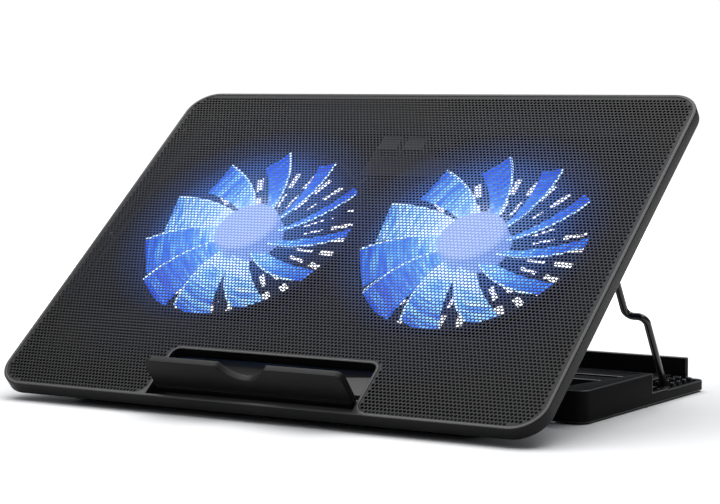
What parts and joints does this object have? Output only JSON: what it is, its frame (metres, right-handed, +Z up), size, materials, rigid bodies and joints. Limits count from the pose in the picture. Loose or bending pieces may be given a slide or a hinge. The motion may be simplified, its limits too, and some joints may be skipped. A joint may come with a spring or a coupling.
{
  "type": "laptop cooling pad",
  "caption": "Perforated laptop deck over lit fans, tilted on a low base by a wire bail in toothed racks, with a folding front stop.",
  "frame": {"origin": "on the floor, below the centre of the overall box", "axes": "+X to the right seen from the user's side, +Y to the rear, +Z up"},
  "size_m": [0.38, 0.2728, 0.1885],
  "materials": {
    "black_plastic": "satin black",
    "frame_plastic": "satin charcoal",
    "mesh_metal": "dark grey coat",
    "rod_black": "glossy black coat",
    "blade_blue": "translucent blue-lit",
    "steel": "bright",
    "rubber": "matte",
    "copper": "lacquered copper",
    "board_green": "solder mask",
    "bronze": "sintered bronze"
  },
  "bodies": {
    "base": {"base_frame": "black_plastic", "rack_left": "black_plastic", "rack_right": "black_plastic", "foot_front_left": "rubber", "foot_front_right": "rubber", "foot_rear_left": "rubber", "foot_rear_right": "rubber", "hinge_pin_left": "steel", "hinge_pin_right": "steel"},
    "deck": {"top_frame": "frame_plastic", "mesh_panel": "mesh_metal", "bottom_cover": "black_plastic", "bail_clip_left": "black_plastic", "bail_clip_right": "black_plastic", "bearing_left": "bronze", "bearing_right": "bronze", "clip_screw_left": "steel", "clip_screw_right": "steel", "control_board": "board_green", "cover_screw_1": "steel", "cover_screw_2": "steel", "cover_screw_3": "steel", "cover_screw_4": "steel", "cover_screw_5": "steel", "cover_screw_6": "steel", "fan_lead_left": "rubber", "fan_lead_right": "rubber", "fan_shroud_left": "black_plastic", "fan_shroud_right": "black_plastic", "led_board_left": "board_green", "led_board_right": "board_green", "motor_mount_left": "black_plastic", "motor_mount_right": "black_plastic", "stator_left": "copper", "stator_right": "copper", "stop_pin_left": "steel", "stop_pin_right": "steel", "switch_housing": "black_plastic", "usb_socket_left": "steel", "usb_socket_right": "steel"},
    "bail": {"bail": "rod_black"},
    "laptop_stop": {"laptop_stop": "black_plastic"},
    "rotor_left": {"rotor_left": "blade_blue", "magnet_ring_left": "rubber", "shaft_left": "steel"},
    "rotor_right": {"rotor_right": "blade_blue", "magnet_ring_right": "rubber", "shaft_right": "steel"},
    "power_rocker": {"power_rocker": "black_plastic"}
  },
  "joints": [
    {"name": "deck_tilt", "type": "hinge", "parent": "base", "child": "deck", "pos_m": [0, -0.10211, 0.01631], "axis": [1, 0, 0], "range_deg": [-8.16, 0]},
    {"name": "bail_swing", "type": "hinge", "parent": "deck", "child": "bail", "pos_m": [0, 0.0267, 0.11122], "axis": [1, 0, 0], "range_deg": [0, 22.7]},
    {"name": "stop_fold", "type": "hinge", "parent": "deck", "child": "laptop_stop", "pos_m": [0, -0.12005, 0.01598], "axis": [1, 0, 0], "range_deg": [-90, 0]},
    {"name": "fan_left_spin", "type": "hinge", "parent": "deck", "child": "rotor_left", "pos_m": [-0.08225, -0.00837, 0.10168], "axis": [0, -0.6327, 0.7744], "continuous": true},
    {"name": "fan_right_spin", "type": "hinge", "parent": "deck", "child": "rotor_right", "pos_m": [0.08225, -0.00837, 0.10168], "axis": [0, -0.6327, 0.7744], "continuous": true},
    {"name": "rocker_tip", "type": "hinge", "parent": "deck", "child": "power_rocker", "pos_m": [0.0215, 0.06831, 0.15671], "axis": [0, -0.6327, 0.7744], "range_deg": [-14, 0]}
  ],
  "couplings": [
    {"joint": "bail_swing", "follows": "deck_tilt", "ratio": -2.7774}
  ]
}
